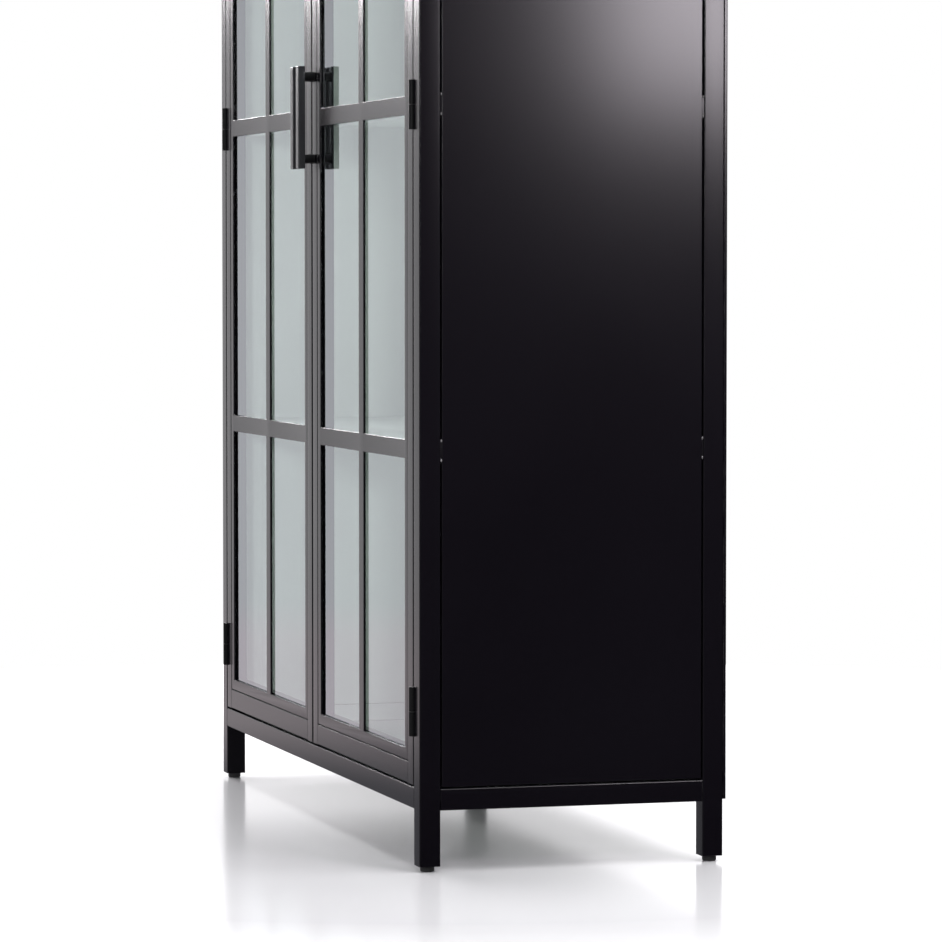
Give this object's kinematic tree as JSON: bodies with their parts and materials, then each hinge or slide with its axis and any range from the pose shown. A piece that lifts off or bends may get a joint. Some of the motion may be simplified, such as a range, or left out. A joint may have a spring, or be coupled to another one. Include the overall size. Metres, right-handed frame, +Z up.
{
  "type": "tower display case",
  "caption": "Tall black metal display case with paired glazed doors in flat grilles, fixed shelves, a pale interior, tube legs and bar handles.",
  "frame": {"origin": "at floor level under the middle of the bounding box", "axes": "+Z up, -Y out of the doors, +X to the right of someone facing the doors"},
  "size_m": [1.2, 0.4716, 2.02],
  "materials": {
    "frame": "satin black paint",
    "lining": "satin pale grey paint",
    "glass": "clear polished",
    "hardware": "blackened satin steel",
    "plastic": "matte black"
  },
  "bodies": {
    "cabinet": {"post_front_left": "frame", "post_rear_left": "frame", "post_front_right": "frame", "post_rear_right": "frame", "bottom_rail_front": "frame", "bottom_rail_rear": "frame", "bottom_rail_left": "frame", "bottom_rail_right": "frame", "top_rail_front": "frame", "top_rail_rear": "frame", "top_rail_left": "frame", "top_rail_right": "frame", "side_panel_left": "frame", "side_panel_right": "frame", "back_panel": "frame", "top_panel": "frame", "floor_plate": "lining", "shelf_1": "lining", "shelf_2": "lining", "shelf_3": "lining", "lining_left": "lining", "lining_right": "lining", "lining_back": "lining", "glide_front_left": "plastic", "glide_rear_left": "plastic", "glide_front_right": "plastic", "glide_rear_right": "plastic", "hinge_lower_pin_left": "hardware", "hinge_middle_pin_left": "hardware", "hinge_upper_pin_left": "hardware", "hinge_lower_pin_right": "hardware", "hinge_middle_pin_right": "hardware", "hinge_upper_pin_right": "hardware", "magnetic_catch": "plastic"},
    "door_left": {"door_stile_hinge_left": "frame", "door_stile_meeting_left": "frame", "door_rail_bottom_left": "frame", "door_rail_top_left": "frame", "door_grille_left": "frame", "door_glass_left": "glass", "glazing_stop_left": "frame", "handle_bar_left": "hardware", "handle_standoff_lower_left": "hardware", "handle_standoff_upper_left": "hardware", "hinge_lower_knuckle_left": "hardware", "hinge_middle_knuckle_left": "hardware", "hinge_upper_knuckle_left": "hardware"},
    "door_right": {"door_stile_hinge_right": "frame", "door_stile_meeting_right": "frame", "door_rail_bottom_right": "frame", "door_rail_top_right": "frame", "door_grille_right": "frame", "door_glass_right": "glass", "glazing_stop_right": "frame", "handle_bar_right": "hardware", "handle_standoff_lower_right": "hardware", "handle_standoff_upper_right": "hardware", "hinge_lower_knuckle_right": "hardware", "hinge_middle_knuckle_right": "hardware", "hinge_upper_knuckle_right": "hardware"}
  },
  "joints": [
    {"name": "door_left_hinge", "type": "hinge", "parent": "cabinet", "child": "door_left", "pos_m": [-0.5685, -0.21025, 1.0525], "axis": [0, 0, -1], "range_deg": [0, 170]},
    {"name": "door_right_hinge", "type": "hinge", "parent": "cabinet", "child": "door_right", "pos_m": [0.5685, -0.21025, 1.0525], "axis": [0, 0, 1], "range_deg": [0, 170]}
  ]
}
